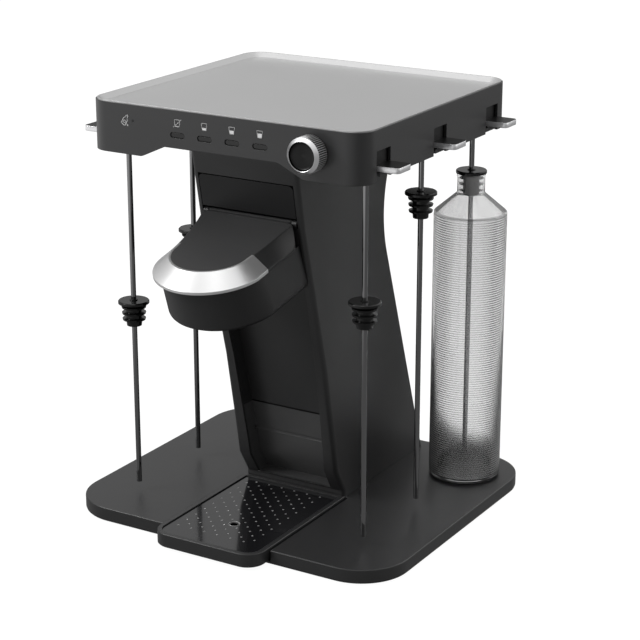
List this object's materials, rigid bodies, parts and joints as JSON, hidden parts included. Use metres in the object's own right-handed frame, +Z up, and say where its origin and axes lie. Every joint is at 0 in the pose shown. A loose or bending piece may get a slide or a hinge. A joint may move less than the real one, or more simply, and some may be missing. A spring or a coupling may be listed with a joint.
{
  "type": "cocktail dispenser",
  "caption": "Countertop cocktail dispenser: leaning column, square head with silver tray, hinged pod lid, drip tray and clamped bottle tubes over a wide base.",
  "frame": {"origin": "on the table plane, under the middle of the bounding box", "axes": "+Z up, +X to the right of someone facing the machine, -Y towards the user at the drip tray and the buttons"},
  "size_m": [0.414, 0.426, 0.4815],
  "materials": {
    "base": "fine satin moulding",
    "housing": "fine satin moulding",
    "silver": "satin silver",
    "ring": "satin chrome",
    "gloss_black": "gloss",
    "rubber": "matt",
    "steel": "bright",
    "inner_plastic": "plain",
    "metal_case": "plain",
    "board": "lacquered board",
    "hose": "translucent silicone",
    "clear": "clear, finely ribbed",
    "lamp": "diffusing lens"
  },
  "bodies": {
    "machine": {"base_shell": "base", "base_bottom_cover": "base", "rubber_feet": "rubber", "cover_screws": "steel", "column_shell": "housing", "column_rear_cover": "housing", "cord_gland": "rubber", "brow_panel": "housing", "cavity_upper_panel": "housing", "splash_panel": "housing", "power_supply": "metal_case", "pump_motor": "metal_case", "pump_head": "inner_plastic", "main_board": "board", "pump_hoses": "hose", "head_shell": "housing", "head_underside": "housing", "top_tray": "silver", "mix_bezel": "ring", "control_board": "board", "cleaning_lamp": "lamp", "valve_manifold": "inner_plastic", "solenoid_valves": "metal_case", "liquor_hoses": "hose", "tube_rail_left": "inner_plastic", "tube_rail_right": "inner_plastic", "pod_chamber": "housing", "capsule_cup": "inner_plastic", "nozzle": "inner_plastic", "lid_hinge_pin": "steel"},
    "lid": {"pod_lid": "housing", "lid_trim": "silver", "piercing_needle": "inner_plastic"},
    "drip_tray": {"drip_tray": "base"},
    "drip_plate": {"drip_plate": "gloss_black"},
    "mix_button": {"mix_button": "gloss_black"},
    "strength_button_1": {"strength_button_1": "gloss_black"},
    "strength_button_2": {"strength_button_2": "gloss_black"},
    "strength_button_3": {"strength_button_3": "gloss_black"},
    "strength_button_4": {"strength_button_4": "gloss_black"},
    "bottle_lever_left_front": {"bottle_lever_left_front": "gloss_black"},
    "bottle_lever_left_middle": {"bottle_lever_left_middle": "gloss_black"},
    "bottle_lever_left_rear": {"bottle_lever_left_rear": "gloss_black"},
    "bottle_lever_right_front": {"bottle_lever_right_front": "gloss_black"},
    "bottle_lever_right_middle": {"bottle_lever_right_middle": "gloss_black"},
    "bottle_lever_right_rear": {"bottle_lever_right_rear": "gloss_black"},
    "bottle_tube_left_front": {"bottle_tube_left_front": "steel"},
    "bottle_tube_left_middle": {"bottle_tube_left_middle": "steel"},
    "bottle_tube_left_rear": {"bottle_tube_left_rear": "steel"},
    "bottle_tube_right_front": {"bottle_tube_right_front": "steel"},
    "bottle_tube_right_middle": {"bottle_tube_right_middle": "steel"},
    "bottle_tube_right_rear": {"bottle_tube_right_rear": "steel", "water_carafe": "clear"},
    "stopper_left_front": {"stopper_left_front": "rubber"},
    "stopper_left_middle": {"stopper_left_middle": "rubber"},
    "stopper_left_rear": {"stopper_left_rear": "rubber"},
    "stopper_right_front": {"stopper_right_front": "rubber"},
    "stopper_right_middle": {"stopper_right_middle": "rubber"},
    "stopper_right_rear": {"stopper_right_rear": "rubber"}
  },
  "joints": [
    {"name": "lid_hinge", "type": "hinge", "parent": "machine", "child": "lid", "pos_m": [0, -0.0762, 0.36005], "axis": [-1, 0, 0], "range_deg": [0, 45]},
    {"name": "drip_tray_slide", "type": "slide", "parent": "machine", "child": "drip_tray", "axis": [0, -1, 0], "range_m": [0, 0.15]},
    {"name": "drip_plate_lift", "type": "slide", "parent": "drip_tray", "child": "drip_plate", "axis": [0, 0, 1], "range_m": [0, 0.006]},
    {"name": "strength_button_1_press", "type": "slide", "parent": "machine", "child": "strength_button_1", "axis": [0, 1, 0], "range_m": [0, 0.0012], "stiffness_N_per_m": 800},
    {"name": "strength_button_2_press", "type": "slide", "parent": "machine", "child": "strength_button_2", "axis": [0, 1, 0], "range_m": [0, 0.0012], "stiffness_N_per_m": 800},
    {"name": "strength_button_3_press", "type": "slide", "parent": "machine", "child": "strength_button_3", "axis": [0, 1, 0], "range_m": [0, 0.0012], "stiffness_N_per_m": 800},
    {"name": "strength_button_4_press", "type": "slide", "parent": "machine", "child": "strength_button_4", "axis": [0, 1, 0], "range_m": [0, 0.0012], "stiffness_N_per_m": 800},
    {"name": "mix_button_press", "type": "slide", "parent": "machine", "child": "mix_button", "axis": [0, 1, 0], "range_m": [0, 0.002], "stiffness_N_per_m": 800},
    {"name": "bottle_lever_left_front_hinge", "type": "hinge", "parent": "machine", "child": "bottle_lever_left_front", "pos_m": [-0.1215, -0.09403, 0.4471], "axis": [0, 1, 0], "range_deg": [0, 12], "stiffness_Nm_per_rad": 0.5},
    {"name": "bottle_lever_left_middle_hinge", "type": "hinge", "parent": "machine", "child": "bottle_lever_left_middle", "pos_m": [-0.1215, 0.02847, 0.4471], "axis": [0, 1, 0], "range_deg": [0, 12], "stiffness_Nm_per_rad": 0.5},
    {"name": "bottle_lever_left_rear_hinge", "type": "hinge", "parent": "machine", "child": "bottle_lever_left_rear", "pos_m": [-0.1215, 0.15097, 0.4471], "axis": [0, 1, 0], "range_deg": [0, 12], "stiffness_Nm_per_rad": 0.5},
    {"name": "bottle_lever_right_front_hinge", "type": "hinge", "parent": "machine", "child": "bottle_lever_right_front", "pos_m": [0.1215, -0.09403, 0.4471], "axis": [0, -1, 0], "range_deg": [0, 12], "stiffness_Nm_per_rad": 0.5},
    {"name": "bottle_lever_right_middle_hinge", "type": "hinge", "parent": "machine", "child": "bottle_lever_right_middle", "pos_m": [0.1215, 0.02847, 0.4471], "axis": [0, -1, 0], "range_deg": [0, 12], "stiffness_Nm_per_rad": 0.5},
    {"name": "bottle_lever_right_rear_hinge", "type": "hinge", "parent": "machine", "child": "bottle_lever_right_rear", "pos_m": [0.1215, 0.15097, 0.4471], "axis": [0, -1, 0], "range_deg": [0, 12], "stiffness_Nm_per_rad": 0.5},
    {"name": "bottle_tube_left_front_draw_out", "type": "slide", "parent": "machine", "child": "bottle_tube_left_front", "axis": [-1, 0, 0], "range_m": [0, 0.06]},
    {"name": "bottle_tube_left_middle_draw_out", "type": "slide", "parent": "machine", "child": "bottle_tube_left_middle", "axis": [-1, 0, 0], "range_m": [0, 0.06]},
    {"name": "bottle_tube_left_rear_draw_out", "type": "slide", "parent": "machine", "child": "bottle_tube_left_rear", "axis": [-1, 0, 0], "range_m": [0, 0.06]},
    {"name": "bottle_tube_right_front_draw_out", "type": "slide", "parent": "machine", "child": "bottle_tube_right_front", "axis": [1, 0, 0], "range_m": [0, 0.06]},
    {"name": "bottle_tube_right_middle_draw_out", "type": "slide", "parent": "machine", "child": "bottle_tube_right_middle", "axis": [1, 0, 0], "range_m": [0, 0.06]},
    {"name": "bottle_tube_right_rear_draw_out", "type": "slide", "parent": "machine", "child": "bottle_tube_right_rear", "axis": [1, 0, 0], "range_m": [0, 0.1]},
    {"name": "stopper_left_front_slide", "type": "slide", "parent": "bottle_tube_left_front", "child": "stopper_left_front", "axis": [0, 0, 1], "range_m": [-0.05, 0.05]},
    {"name": "stopper_left_middle_slide", "type": "slide", "parent": "bottle_tube_left_middle", "child": "stopper_left_middle", "axis": [0, 0, 1], "range_m": [-0.05, 0.05]},
    {"name": "stopper_left_rear_slide", "type": "slide", "parent": "bottle_tube_left_rear", "child": "stopper_left_rear", "axis": [0, 0, 1], "range_m": [-0.05, 0.05]},
    {"name": "stopper_right_front_slide", "type": "slide", "parent": "bottle_tube_right_front", "child": "stopper_right_front", "axis": [0, 0, 1], "range_m": [-0.05, 0.05]},
    {"name": "stopper_right_middle_slide", "type": "slide", "parent": "bottle_tube_right_middle", "child": "stopper_right_middle", "axis": [0, 0, 1], "range_m": [-0.05, 0.03]},
    {"name": "stopper_right_rear_slide", "type": "slide", "parent": "bottle_tube_right_rear", "child": "stopper_right_rear", "axis": [0, 0, 1], "range_m": [0, 0.03]}
  ]
}
